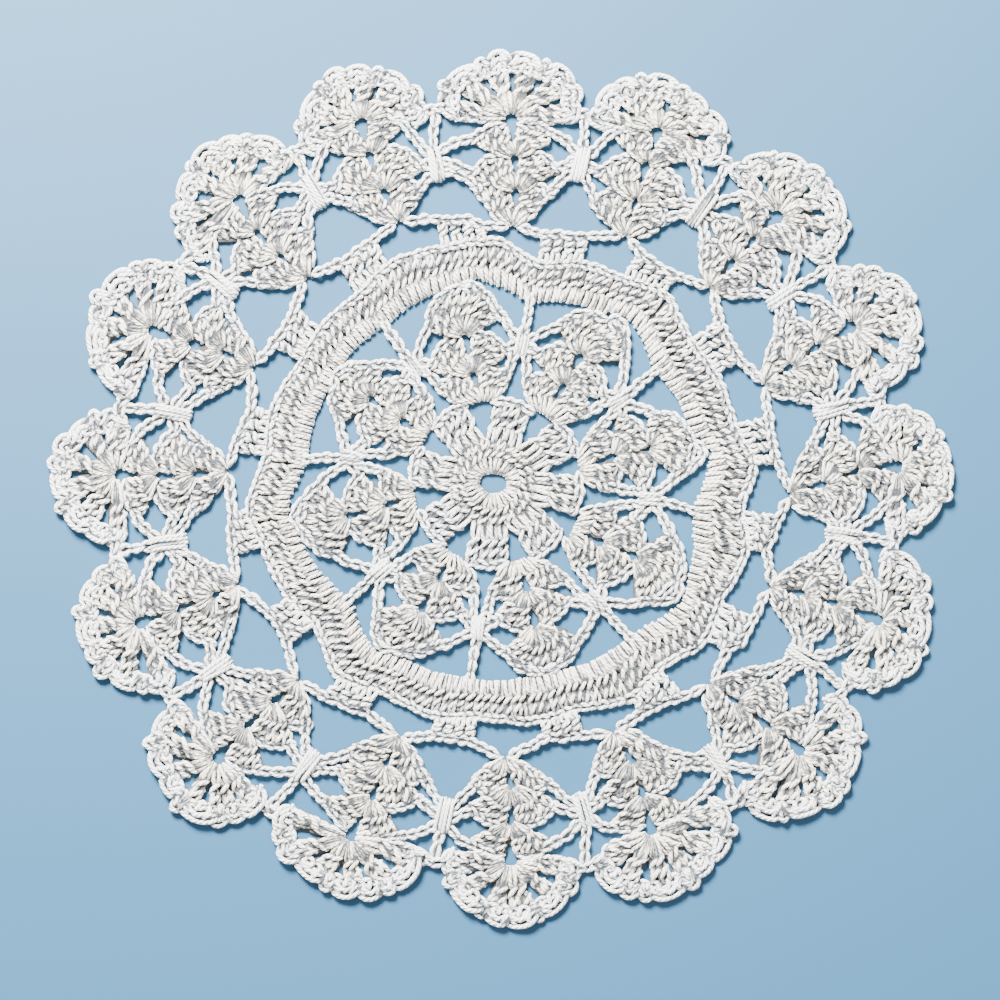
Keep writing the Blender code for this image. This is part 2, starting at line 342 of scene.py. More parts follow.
def outline_middle():
    """The middle of the doily's box, from the arches of its heads with a dip between their lumps."""
    xs, ys = [], []
    steps = LUMPS * 3
    for number, fan in enumerate(FANS):
        low = head_low(FANS[number - 1], fan)
        for step in range(steps + 1):
            place = scallop_at(fan, low, 2 * step / steps - 1)
            dip = LUMP_DEPTH if step % 3 == 0 else 0.0
            x, y = mid(place, (0.0, 0.0), dip / hypot(*place))
            xs.append(x)
            ys.append(y)
    return (min(xs) + max(xs)) / 2, (min(ys) + max(ys)) / 2


# --- The laid stitches ------------------------------------

KINDS = ("a_treble", "b_shell_treble", "c_link", "d_strand", "e_knot")
TREBLE, SHELL_TREBLE, LINK, STRAND, KNOT = range(5)

# Where the ground starts and ends under each kind of stitch, in shares of its height, and its reach.
GROUND_UNDER = (
    (0.14, 0.94, 1.06),
    (0.18, 0.94, 1.22),
    (0.0, 1.0, 0.97),
    (0.1, 0.9, 0.7),
    (0.0, 0.62, 1.32),
)

Stitch = namedtuple("Stitch", "kind x y z aim wide tall warmth thick tilt")


class Work:
    """The stitches of one piece."""

    def __init__(self, name):
        self.name = name
        self.stitches = []

    def lay(self, kind, foot, top, wide, warmth=0.3, lift=0.0, thick=1.0, tilt=0.0):
        """A stitch from its foot to its top. tilt lowers the top below the foot, in millimetres."""
        aim, tall = compass(foot, top), far(foot, top)
        laid = Stitch(kind, foot[0], foot[1], LIFT + lift, aim, wide, tall, warmth, thick, tilt)
        self.stitches.append(laid)

    def chain(self, knots, warmth=0.1, wide=CHAIN_WIDTH, pitch=CHAIN_PITCH, lift=0.0, thick=1.0):
        """A row of links along a path, as many as fit it."""
        count = max(1, round(path_length(knots) / pitch))
        places = spaced(knots, count)
        for a, b in zip(places, places[1:]):
            self.lay(LINK, a, b, wide, warmth, lift, thick)

    def link(self, a, b, **looks):
        """A straight row of links from a to b."""
        self.chain([a, mid(a, b), b], **looks)

    def trim(self, knots, warmth=0.1, pitch=CHAIN_PITCH, lift=-0.1):
        """A narrower row of links, laid lower, along the edge of other stitches."""
        self.chain(knots, warmth, TRIM_WIDTH, pitch, lift)

    def shell(self, core, inner, outer, count=5, bulge=0.5, feet_r=1.3, lift=0.0):
        """One side of a shell: trebles that spread from a hole, with their top edge."""
        inner_aim = compass(core, inner)
        swing = turn_between(inner_aim, compass(core, outer))
        lean = 8.0 if swing > 0 else -8.0
        tops = []
        for n in range(count):
            share = n / (count - 1)
            aim = inner_aim + swing * share
            reach = between(far(core, inner), far(core, outer), share) + bulge * sin(pi * share)
            foot = step_from(core, aim + (share - 0.35) * lean, feet_r)
            top = step_from(core, aim, reach - 0.5)
            self.lay(SHELL_TREBLE, foot, top, 2.7, warmth=1.0, lift=0.25 + lift, thick=1.04, tilt=0.45)
            tops.append(step_from(core, aim, reach - 0.2))
        first, last = tops[0], tops[-1]
        start = step_from(first, compass(last, first), 0.9)
        end = step_from(last, compass(first, last), 0.8)
        self.trim([start] + tops + [end], pitch=TRIM_PITCH, lift=lift - 0.2)

    def bind(self, about, angle, radius, below, above, apart, bow, taper, lift):
        """Four straight strands side by side round the chains of a tie."""
        for n in FOUR_ABREAST:
            across = n * degrees_for(apart, radius)
            foot = about(angle + across, radius - below + bow * abs(n))
            top = about(angle + across * taper, radius + above)
            self.lay(STRAND, foot, top, 1.0, warmth=0.2, lift=lift - 0.08 * abs(n))


def disc_work():
    """The ring of trebles that the work starts from, and the eight spokes on it."""
    work = Work("centre_disc")
    wide, deep = CENTRE_HOLE
    for n in range(DISC_TREBLES):
        angle = TURN * n / DISC_TREBLES
        turned = radians(angle)
        hole_r = 1 / hypot(sin(turned) * 2 / wide, cos(turned) * 2 / deep)
        foot = about_flower(angle, hole_r - 0.25)
        top = about_flower(angle, DISC_R)
        work.lay(SHELL_TREBLE, foot, top, 2.5, warmth=0.85, lift=0.25, thick=0.92, tilt=0.3)
    for petal in PETALS:
        for n in FOUR_ABREAST:
            foot = about_flower(petal.wedge + n * SPOKE_SPREAD, DISC_R - 0.7)
            across = degrees_for(n * 2.3, petal.wedge_r)
            top = about_flower(petal.wedge + across, petal.wedge_r - 1.2 - 0.3 * abs(n))
            work.lay(TREBLE, foot, top, 2.9, warmth=0.25, lift=0.1, thick=1.05, tilt=0.1)
        rim = []
        for n in (-1, 0, 1):
            across = degrees_for(n * 4.6, petal.wedge_r)
            rim.append(about_flower(petal.wedge + across, petal.wedge_r - 0.9 - 0.5 * abs(n)))
        work.trim(rim, pitch=TRIM_PITCH)
    return work


def crescent_ends(petal, after, end, half):
    """The angle and radius of each crescent's corner at a petal's tip, and the angle of its other end."""
    tip = degrees_for(TIP_HALF_WIDTH, petal.tip_r)
    after_tip = after_turn(petal.tip, after.tip)
    return (
        (petal.tip + tip, petal.ring_after, end - half),
        (after_tip - tip, after.ring_before, end + half),
    )


def petal_edges(petal, after):
    """The edges of the crescents beside the rung that follows a petal, from each petal's tip to the tie."""
    foot = petal.tie_r + 2.6
    half = degrees_for(TIE_HALF_WIDTH, petal.tie_r)
    edges = []
    for corner, corner_r, end in crescent_ends(petal, after, petal.apex, half):
        edges.append([
            about_flower(corner, corner_r - EDGE_IN),
            about_flower(between(corner, end, 0.5), between(corner_r, foot, 0.5) + 0.3 - EDGE_IN),
            about_flower(end, foot - EDGE_IN),
        ])
    return edges


def petal_side(work, petal, base, edge, holes, side):
    """One side of a petal: its three shells, and the chains that gather at the tie on that side."""
    root = about_flower(petal.eye, petal.eye_r + EYE_HALF_HEIGHT + 0.1)
    low, middle, high = hole_places(about_flower, holes)
    tip = about_flower(petal.tip, petal.tip_r - 0.6)
    across = petal.tip + 90 * side
    wall_r = between(base.wedge_r, base.apex_r, WALL_SHARE)
    wall = about_flower(between(base.wedge, base.apex, WALL_SHARE) - side * degrees_for(1.9, wall_r), wall_r)
    tie = base.apex - side * degrees_for(1.3, base.tie_r)
    gather = [about_flower(tie, base.tie_r + rise) for rise in (-1.3, 0.1, 1.4)]
    # the lowest shell, from the eye to the wedge's wall
    inner = step_from(step_from(low, across, 2.3), petal.tip, 0.9)
    for n in range(4):
        start = step_from(root, across, 0.5 + 0.85 * n)
        top = mid(inner, wall, n / 3)
        top = step_from(top, compass(start, top), -0.3 + 1.0 * sin(pi * n / 3))
        work.lay(SHELL_TREBLE, start, top, 2.6, warmth=0.95, lift=0.28, tilt=0.4)
    work.trim([step_from(inner, across, 0.3), mid(inner, wall), wall], lift=-0.2)
    # the middle shell, from the low hole towards the tie
    inner = step_from(step_from(middle, across, 2.4), petal.tip, 0.5)
    aim = compass(low, gather[1])
    outer = step_from(low, aim - side * 3.0, min(9.2, far(low, gather[1]) - 0.8))
    work.shell(low, inner, outer, bulge=0.2, lift=0.08)
    # the upper shell, from the middle hole to the edge under the crescent
    rim = spaced(edge, 10)
    inner = step_from(step_from(high, across, 1.6), petal.tip, 1.2)
    corner = step_from(rim[5], compass(middle, rim[5]), -0.5)
    work.shell(middle, inner, corner, bulge=0.7, lift=0.16)
    # the chains to the tie, the wall of the wedge and the edge beside the tip
    work.link(wall, gather[0])
    work.link(outer, gather[1])
    work.chain([corner, rim[7], rim[9], gather[2]])
    beside = degrees_for(WEDGE_HALF_WIDTH + 1.3, base.wedge_r)
    work.trim([about_flower(base.wedge - side * beside, base.wedge_r + 0.3), wall], warmth=0.3)
    work.trim([tip, rim[0], rim[3], corner], warmth=0.15, lift=-0.05)


def band_inner():
    """Knots of the band's inner edge, as places."""
    knots = []
    for petal, after in following(PETALS):
        half = degrees_for(RUNG_HALF_WIDTH, petal.rung_r)
        for corner, corner_r, end in crescent_ends(petal, after, petal.rung, half):
            trio = [
                about_flower(corner, corner_r),
                about_flower(between(corner, end, 0.5), between(corner_r, petal.rung_r, 0.5) + 0.3),
                about_flower(end, petal.rung_r),
            ]
            knots += trio if corner < end else trio[::-1]
    return knots


def band_outer():
    """Knots of the band's outer edge, as places."""
    knots = []
    for gap in FOOT_GAPS:
        halfway = between(gap.start, gap.end, 0.55)
        knots.append(about_middle(gap.start, gap.low_start))
        knots.append(about_middle(halfway, between(gap.low_start, gap.low_end, 0.65)))
        knots.append(about_middle(gap.end, gap.low_end))
    return knots


def radius_at(knots, angle):
    """The radius of a closed edge at an angle about the middle, from its knots."""
    polar = sorted((atan2(x, y) * TURN / (2 * pi) % TURN, hypot(x, y)) for x, y in knots)
    polar = [(polar[-1][0] - TURN, polar[-1][1])] + polar + [(polar[0][0] + TURN, polar[0][1])]
    angle %= TURN
    for (a, a_r), (b, b_r) in zip(polar, polar[1:]):
        if a <= angle <= b:
            return between(a_r, b_r, (angle - a) / max(b - a, 1e-9))
    return polar[0][1]


def band_work():
    """The solid band: a ring of tall trebles with a row of links along its outer edge."""
    work = Work("band")
    inner, outer = band_inner(), band_outer()
    edge = []
    for n in range(BAND_TREBLES):
        angle = TURN * n / BAND_TREBLES
        low = radius_at(inner, angle)
        beside = radius_at(outer, angle - BAND_EASE), radius_at(outer, angle + BAND_EASE)
        high = (beside[0] + radius_at(outer, angle) + beside[1]) / 3
        foot = about_middle(angle, low + 0.3)
        top = about_middle(angle, high - 1.6)
        work.lay(TREBLE, foot, top, 2.3, warmth=0.8, lift=0.1, thick=1.03, tilt=0.1)
        edge.append(about_middle(angle + 0.4, high - 1.0))
    for a, b in following(edge):
        work.lay(LINK, a, b, 1.9, warmth=0.2, lift=-0.1)
    return work


def block_work():
    """Sixteen blocks of trebles on the band, and the chains that carry the fans."""
    work = Work("blocks_and_chains")
    outer = band_outer()
    for (gap, after_gap), (fan, after) in zip(following(FOOT_GAPS), following(FANS)):
        start = gap.end
        end = min(after_turn(start, after_gap.start), start + BLOCK_MOST)
        inset = degrees_for(1.1, fan.block_r)
        tops = []
        for n in range(BLOCK_TREBLES):
            share = n / (BLOCK_TREBLES - 1)
            angle = between(start + inset, end - inset, share)
            edge_r = between(gap.high_end, after_gap.high_start, share)
            crown = between(edge_r + 1.0, fan.block_r - 1.4, sin(pi * share) * 0.8 + 0.1)
            foot = about_middle(angle, radius_at(outer, angle) - 0.6)
            top = about_middle(angle, crown)
            work.lay(TREBLE, foot, top, 2.8, warmth=0.3, lift=0.12, thick=1.12, tilt=0.1)
            tops.append(about_middle(angle, crown + 0.4))
        after_foot = after_turn(fan.foot, after.foot)
        foot_here = about_middle(fan.foot + degrees_for(1.5, fan.foot_r), fan.foot_r + 0.1)
        foot_there = about_middle(after_foot - degrees_for(1.5, after.foot_r), after.foot_r + 0.1)
        work.link(foot_here, tops[0])
        work.chain(tops)
        work.link(tops[-1], foot_there)
    return work


def fan_edges(fan, after):
    """The edges of the large gap after a fan: up from its foot to the tie, and from the next fan's foot."""
    after_foot = after_turn(fan.foot, after.foot)
    top = degrees_for(GAP_TOP_HALF_WIDTH, fan.gap_top)
    start = fan.foot + degrees_for(FOOT_HALF_WIDTH, fan.foot_r)
    end = after_foot - degrees_for(FOOT_HALF_WIDTH, after.foot_r)
    halfway = (fan.foot_r + fan.gap_top) / 2
    edges = []
    for side, foot, foot_r, at_top in (
        (-1, start, fan.foot_r + 1.0, fan.tie - top),
        (1, end, after.foot_r + 0.8, fan.tie + top),
    ):
        out = side * degrees_for(EDGE_IN * 0.8, halfway)
        edges.append([
            about_middle(foot + out, foot_r + 0.9),
            about_middle(between(foot, at_top, 0.6) + out, halfway + 1.5),
            about_middle(at_top + out * 0.3, fan.gap_top + 0.5),
        ])
    return edges


def fan_side(work, fan, base, edge, holes, side):
    """One side of a fan below its head: its three shells, and the chains to the tie on that side."""
    foot = about_middle(fan.foot, fan.foot_r + 0.3)
    low, middle, high = hole_places(about_middle, holes)
    up = compass(low, high)
    across = up + 90 * side
    rim = spaced(edge, 10)
    tie = base.tie - side * degrees_for(1.6, base.tie_r)
    gather = [about_middle(tie, base.tie_r + rise) for rise in (-2.2, 0.2, 2.4)]
    # the lowest shell, from the fan's foot
    inner = step_from(step_from(low, across, 2.5), up, 0.7)
    corner = step_from(rim[6], compass(foot, rim[6]), 0.2)
    work.shell(foot, inner, corner, count=4, bulge=1.3, feet_r=0.9)
    work.chain([corner, rim[8], gather[0]])
    work.trim([rim[0], rim[3], corner], warmth=0.3)
    # the middle shell, from the low hole towards the tie
    inner = step_from(step_from(middle, across, 2.5), up, 0.7)
    outer = step_from(low, compass(low, gather[1]) - side * 3.0, min(10.4, far(low, gather[1]) - 1.5))
    work.shell(low, inner, outer, lift=0.1)
    work.link(outer, gather[1])
    # the upper shell, from the middle hole under the head
    inner = step_from(step_from(high, across, 2.6), up, -0.1)
    outer = step_from(middle, up + side * 59.0, 10.0)
    work.shell(middle, inner, outer, bulge=0.1, lift=0.18)
    work.chain([outer, step_from(mid(outer, gather[2], 0.55), up, 0.8), gather[2]])


def paired_work(name, numbers, rows, holes, edges, lay_side):
    """Petals, or fans below their heads: each is laid to either side of its small holes."""
    work = Work(name)
    for number in numbers:
        before, row, after = neighbours(rows, number)
        lay_side(work, row, before, edges(before, row)[1], holes[number], -1)
        lay_side(work, row, row, edges(row, after)[0], holes[number], 1)
    return work


def head_edge(before, fan):
    """The edge of a fan's head, from its lower left corner over its crest to its lower right corner."""
    low = head_low(before, fan)
    arch = [scallop_at(fan, low, u / ARCH_STEPS) for u in range(1 - ARCH_STEPS, ARCH_STEPS)]
    left = [about_middle(before.valley + out, before.valley_r - down) for out, down in NOTCH]
    right = [about_middle(fan.valley - out, fan.valley_r - down) for out, down in reversed(NOTCH)]
    return left + arch + right


def head_work(name, numbers):
    """The fans' heads: trebles that spread from above the topmost hole, and the row of links over them.

    The trebles stand in pairs, with a slit between two pairs.
    """
    work = Work(name)
    for number in numbers:
        before, fan, _ = neighbours(FANS, number)
        _, middle, high = hole_places(about_middle, FAN_HOLES[number])
        up = compass(middle, about_middle(fan.crest, fan.crest_r))
        heart = step_from(high, up, HEART_ABOVE_HOLE)
        rims = spaced(head_edge(before, fan), (HEAD_COLUMNS - 1) * 10, soft=False)
        ends = []
        for n in range(HEAD_COLUMNS):
            swayed = round(1.2 * sin(2.1 * n + 1.3 * number))
            paired = -HEAD_SPREAD if n % 2 else HEAD_SPREAD
            rim = rims[min(max(n * 10 + paired + swayed, 0), len(rims) - 1)]
            swing = turn_between(up, compass(heart, rim))
            foot = step_from(heart, up + swing, 1.3 + 0.7 * abs(swing) / 90)
            top = step_from(rim, compass(rim, heart), EDGING_DEPTH + 0.2)
            work.lay(SHELL_TREBLE, foot, top, 3.2, warmth=1.0, lift=0.38, thick=1.18, tilt=0.5)
            ends.append(top)
        work.chain(ends, warmth=0.15, wide=2.2, pitch=TRIM_PITCH, lift=-0.1)
        for side, corner in ((-1, ends[0]), (1, ends[-1])):
            start = step_from(heart, up + 90 * side, 2.2)
            work.chain([start, step_from(mid(start, corner, 0.5), up, -0.5), corner], lift=-0.1)
    return work


def edge_work():
    """The bumps round the fans' heads: a thick loop over every few stitches, and the links between heads."""
    work = Work("edging")
    for number, fan in enumerate(FANS):
        rim = spaced(head_edge(FANS[number - 1], fan), EDGE_LUMPS * 10, soft=False)
        posts = [rim[0]]
        for n in range(1, EDGE_LUMPS):
            posts.append(rim[n * 10 + round(EDGE_SHIFT * sin(2.4 * n + 1.7 * number))])
        posts.append(rim[-1])
        for n, (a, b) in enumerate(zip(posts, posts[1:])):
            centre = mid(a, b)
            out = compass(b, a) + 90
            foot = step_from(centre, out, -EDGING_DEPTH)
            top = step_from(centre, out, 0.15 + 0.4 * sin(1.9 * n + 0.8 * number))
            work.lay(KNOT, foot, top, far(a, b) * 1.15, warmth=0.2, lift=0.1, thick=1.15)
        joint = fan.valley_r - 3.4
        reach = degrees_for(2.7, joint)
        start = about_middle(fan.valley - reach, joint - 0.3)
        middle = about_middle(fan.valley, joint + 0.5)
        end = about_middle(fan.valley + reach, joint - 0.3)
        work.chain([start, middle, end], wide=2.6, pitch=2.7, lift=0.1, thick=1.05)
    return work


def tie_work():
    """The straight strands that bind the chains between the petals and between the fans."""
    work = Work("ties")
    for petal in PETALS:
        tie = about_flower, petal.apex, petal.tie_r
        work.bind(*tie, below=2.3, above=2.5, apart=0.80, bow=0.15, taper=0.9, lift=0.5)
        foot = about_flower(petal.apex, petal.tie_r + 1.6)
        end = about_flower(petal.rung, petal.rung_r + 0.8)
        work.trim([foot, mid(foot, end), end], warmth=0.2, lift=0.05)
    for fan in FANS:
        tie = about_middle, fan.tie, fan.tie_r
        work.bind(*tie, below=3.8, above=3.7, apart=0.82, bow=0.2, taper=0.85, lift=0.6)
        foot = about_middle(fan.tie, fan.tie_r + 3.0)
        joint = about_middle(fan.valley, fan.valley_r - 4.6)
        work.link(foot, joint, warmth=0.2)
    return work


# --- Node trees -------------------------------------------


class Wire:
    """A number on a socket, which Python's operators work on by adding Math nodes."""

    def __init__(self, nodes, socket):
        self.nodes = nodes
        self.socket = socket

    def maths(self, operation, *values):
        return self.nodes.add("ShaderNodeMath", dict(enumerate(values)), operation=operation)

    def __add__(self, other):
        return self.maths("ADD", self, other)

    def __sub__(self, other):
        return self.maths("SUBTRACT", self, other)

    def __rsub__(self, other):
        return self.maths("SUBTRACT", other, self)

    def __mul__(self, other):
        return self.maths("MULTIPLY", self, other)

    def __truediv__(self, other):
        return self.maths("DIVIDE", self, other)

    __radd__ = __add__
    __rmul__ = __mul__

    def clamped(self):
        return self.nodes.add("ShaderNodeClamp", {0: self})

    def sine(self):
        return self.maths("SINE", self)

    def power(self, other):
        return self.maths("POWER", self, other)


class Nodes:
    """Adds nodes to one tree."""

    def __init__(self, tree):
        self.tree = tree

    def add(self, kind, values=None, take=0, **settings):
        """A node of this kind, with its settings made first and then its sockets' values or links."""
        node = self.tree.nodes.new(kind)
        for name, value in settings.items():
            setattr(node, name, value)
        for name, value in (values or {}).items():
            socket = node.inputs[name]
            if isinstance(value, Wire):
                self.tree.links.new(value.socket, socket)
            elif value is not None:
                socket.default_value = value
        if take is None:
            return node
        return Wire(self, node.outputs[take])

    def attribute(self, name, kind="FLOAT"):
        return self.add("GeometryNodeInputNamedAttribute", {"Name": name}, data_type=kind)

    def store(self, geometry, name, value, domain="POINT", kind="FLOAT"):
        values = {"Geometry": geometry, "Name": name, "Value": value}
        return self.add("GeometryNodeStoreNamedAttribute", values, domain=domain, data_type=kind)

    def vector(self, operation, first, second):
        """Maths on two vectors."""
        return self.add("ShaderNodeVectorMath", {0: first, 1: second}, operation=operation)

    def joined(self, **values):
        """A vector from its X, Y and Z."""
        return self.add("ShaderNodeCombineXYZ", values)

    def scaled(self, vector, amount):
        return self.add("ShaderNodeVectorMath", {0: vector, "Scale": amount}, operation="SCALE")

    def noise(self, place, scale, detail, **more):
        """A grey noise."""
        values = {"Vector": place, "Scale": scale, "Detail": detail, **more}
        return self.add("ShaderNodeTexNoise", values, take="Fac")

    def moved(self, geometry, **values):
        return self.add("GeometryNodeSetPosition", {"Geometry": geometry, **values})

    def ended(self, geometry, material):
        """Ends a tree of geometry: smooth, made real and given its material."""
        geometry = self.add("GeometryNodeSetShadeSmooth", {"Geometry": geometry})
        geometry = self.add("GeometryNodeRealizeInstances", {"Geometry": geometry})
        geometry = self.add("GeometryNodeSetMaterial", {"Geometry": geometry, "Material": material})
        self.add("NodeGroupOutput", {0: geometry}, take=None)


def new_group(name, places, wanted, result):
    """A group with the wanted inputs: its tree, its nodes, and a call that gives an input."""
    group = bpy.data.node_groups.new(name, "GeometryNodeTree")
    group.interface.new_socket(places, in_out="INPUT", socket_type="NodeSocketGeometry")
    for title, kind in wanted:
        group.interface.new_socket(title, in_out="INPUT", socket_type="NodeSocket" + kind)
    group.interface.new_socket(result, in_out="OUTPUT", socket_type="NodeSocketGeometry")
    made = Nodes(group)
    start = made.add("NodeGroupInput", take=None)

    def given(title):
        return Wire(made, start.outputs[title])

    return group, made, given


def crevices(made, yarn):
    """How closely other strands stand over each point of the yarn, from 0 in the open to 1 in a cleft, for
    painted shade in the thread's colour.
    """
    place = made.add("GeometryNodeInputPosition")
    outward = made.add("GeometryNodeInputNormal")
    start = made.vector("ADD", place, made.scaled(outward, CREVICE_START * MM))
    total = 0.0
    for lean in CREVICE_LEANS:
        seen = made.add("GeometryNodeRaycast", {
            "Target Geometry": yarn,
            "Source Position": start,
            "Ray Direction": made.vector("ADD", outward, lean),
            "Ray Length": CREVICE_REACH * MM,
        }, take=None)
        near = 1 - Wire(made, seen.outputs["Hit Distance"]) / (CREVICE_REACH * MM)
        total = near * Wire(made, seen.outputs["Is Hit"]) + total
    shut = total / len(CREVICE_LEANS)
    return made.add("GeometryNodeBlurAttribute", {"Value": shut, "Iterations": 1}, data_type="FLOAT")


def stitch_tree():
    """Lays a stitch on each point, sways it a little, and sweeps its strands as round thread."""
    group, made, given = new_group("laid_stitches", "Places", (
        ("Stitch shapes", "Collection"), ("Thread radius", "Float"), ("Sides", "Int"), ("Sway", "Float"),
        ("Relief", "Float"), ("Unevenness", "Float"), ("Seed", "Int"), ("Thread", "Material"),
    ), "Yarn")

    def uneven(most, shift):
        """A random vector for each stitch, up to these amounts either way."""
        least = tuple(-amount for amount in most)
        values = {0: least, 1: most, "Seed": given("Seed") + shift}
        chance = made.add("FunctionNodeRandomValue", values, data_type="FLOAT_VECTOR")
        return made.scaled(chance, given("Unevenness"))

    def drift(scale, shift):
        """A smooth push that varies over the cloth, from -0.5 to 0.5 each way."""
        values = {"Vector": place, "W": given("Seed") * 3.7 + shift, "Scale": scale, "Detail": 1.0}
        noise = made.add("ShaderNodeTexNoise", values, take="Color", noise_dimensions="4D")
        return made.vector("SUBTRACT", noise, (0.5, 0.5, 0.5))

    def rested(geometry, least):
        """Keeps it from sinking below this height."""
        lowest = made.joined(X=-1.0, Y=-1.0, Z=least)
        return made.moved(geometry, Position=made.vector("MAXIMUM", place, lowest))

    # each stitch is laid on its point
    place = made.add("GeometryNodeInputPosition")
    values = {"Collection": given("Stitch shapes"), "Separate Children": True, "Reset Children": True}
    shapes = made.add("GeometryNodeCollectionInfo", values)
    aim = made.vector("ADD", made.attribute("aim", "FLOAT_VECTOR"), uneven(AIM_UNEVEN, 1))
    uneven_size = made.vector("ADD", uneven(SIZE_UNEVEN, 2), (1.0, 1.0, 1.0))
    laid = made.add("GeometryNodeInstanceOnPoints", {
        "Points": given("Places"),
        "Instance": shapes,
        "Pick Instance": True,
        "Instance Index": made.attribute("kind", "INT"),
        "Rotation": made.add("FunctionNodeEulerToRotation", {0: aim}),
        "Scale": made.vector("MULTIPLY", made.attribute("size", "FLOAT_VECTOR"), uneven_size),
    })
    shade = made.add("FunctionNodeRandomValue", {"Seed": given("Seed")}, take=1, data_type="FLOAT")
    laid = made.store(laid, "shade", shade, "INSTANCE")
    curves = made.add("GeometryNodeRealizeInstances", {"Geometry": laid})
    # its strands are swayed, and kept off the table
    curves = made.moved(curves, Offset=made.scaled(drift(SWAY_FINENESS, 0.0), given("Sway")))
    wave = made.add("ShaderNodeSeparateXYZ", {0: drift(WAVE_FINENESS, 11.0)}, take="Z")
    lift = made.joined(Z=wave * given("Relief"))
    curves = rested(made.moved(curves, Offset=lift), given("Thread radius"))
    curves = made.add("GeometryNodeCurveSplineType", {"Curve": curves}, spline_type="CATMULL_ROM")
    curves = made.add("GeometryNodeSetSplineResolution", {"Geometry": curves, "Resolution": 2})
    curves = made.store(curves, "along", made.add("GeometryNodeSplineParameter", take="Length"))
    # the thread is swept along them
    values = {"Resolution": given("Sides"), "Radius": given("Thread radius")}
    ring = made.add("GeometryNodeCurvePrimitiveCircle", values)
    around = made.add("ShaderNodeVectorMath", {0: place}, operation="NORMALIZE")
    ring = made.store(ring, "around", around, kind="FLOAT_VECTOR")
    slubs = made.noise(place, SLUB_FINENESS, 1.0)
    girth = made.attribute("radius") * made.attribute("thick") * (0.66 + slubs * 0.68)
    values = {"Curve": curves, "Profile Curve": ring, "Scale": girth, "Fill Caps": True}
    yarn = made.add("GeometryNodeCurveToMesh", values)
    yarn = rested(yarn, 0.0)
    # the nearness of other strands, which the thread's material turns into painted shade in the clefts
    yarn = made.store(yarn, "crevice", crevices(made, yarn))
    made.ended(yarn, given("Thread"))
    return group


# Each strand of a stitch: across in widths, up in heights, out in millimetres, and its share of the thread's
# own radius.
STRANDS = {
    "a_treble": (
        ((-.22, -.02, -.45, .85), (-.25, .12, .34, 1), (-.20, .36, .34, 1), (.14, .58, .06, 1),
         (.28, .84, .28, 1), (.12, 1.0, -.25, .9)),
        ((.22, -.02, -.45, .85), (.25, .12, .32, 1), (.19, .34, .26, 1), (-.14, .56, -.22, 1),
         (-.28, .82, .24, 1), (-.14, 1.0, -.25, .9)),
        ((-.34, .33, -.40, .8), (-.20, .42, .48, 1), (.20, .54, .50, 1), (.33, .64, -.40, .8)),
        ((-.34, .62, -.40, .8), (-.18, .71, .44, 1), (.20, .84, .44, 1), (.33, .93, -.40, .8)),
    ),
    "b_shell_treble": (
        ((-.05, -.05, -.45, .70), (-.14, .10, .40, .82), (-.20, .36, .34, 1), (.10, .60, .04, 1),
         (.28, .84, .26, 1), (.14, 1.0, -.30, .9)),
        ((.06, -.05, -.45, .70), (.15, .10, .36, .82), (.20, .36, .26, 1), (-.10, .58, -.22, 1),
         (-.29, .82, .24, 1), (-.16, 1.0, -.30, .9)),
        ((-.32, .37, -.40, .8), (-.18, .45, .50, 1), (.20, .57, .48, 1), (.33, .66, -.40, .8)),
        ((-.34, .66, -.40, .8), (-.18, .74, .42, 1), (.20, .86, .40, 1), (.34, .95, -.40, .8)),
    ),
    "c_link": (
        ((.0, -.18, -.45, .85), (-.13, .14, .16, 1), (-.33, .58, .34, 1.1), (-.27, .98, .10, 1.1),
         (.0, 1.18, -.16, 1), (.27, .98, .10, 1.1), (.33, .56, .34, 1.1), (.12, .12, .24, 1),
         (-.02, -.20, -.42, .85)),
        ((.0, -.1, -.34, 1.1), (.02, .5, -.24, 1.1), (.0, 1.1, -.34, 1.1)),
    ),
    "d_strand": (
        ((.0, -.03, -.9, .8), (.0, .02, -.1, 1), (.02, .22, .26, 1), (.04, .78, .28, 1),
         (.0, .98, -.1, 1), (.0, 1.03, -.9, .8)),
    ),
    "e_knot": (
        ((-.38, -.08, -.35, .9), (-.46, .34, .16, 1.1), (-.26, .80, .28, 1.15), (.02, .92, .16, 1.15),
         (.30, .78, .24, 1.15), (.46, .32, .16, 1.1), (.36, -.1, -.35, .9)),
        ((-.20, -.1, -.1, .9), (-.24, .28, .42, 1.1), (.0, .58, .56, 1.15), (.24, .28, .44, 1.1),
         (.18, -.1, -.1, .9)),
        ((-.54, .06, -.3, .9), (-.30, .24, .54, 1), (-.20, .60, .56, 1), (-.30, .82, -.2, .9)),
        ((.14, .80, -.2, .9), (.18, .62, .56, 1), (.36, .32, .56, 1), (.56, .04, -.3, .9)),
        ((-.02, -.1, .1, 1), (-.01, .14, .46, 1), (.04, .36, .36, .9)),
    ),
}


def stitch_shapes():
    """One curve for each kind of stitch, in a collection that isn't shown."""
    shapes = bpy.data.collections.new("stitch_shapes")
    for kind in KINDS:
        curve = bpy.data.curves.new(kind, "CURVE")
        curve.dimensions = "3D"
        for strand in STRANDS[kind]:
            line = curve.splines.new("POLY")
            line.points.add(len(strand) - 1)
            for point, (across, up, out, share) in zip(line.points, strand):
                point.co = (across, up, out, 1.0)
                point.radius = share
        shapes.objects.link(bpy.data.objects.new(kind, curve))
    return shapes


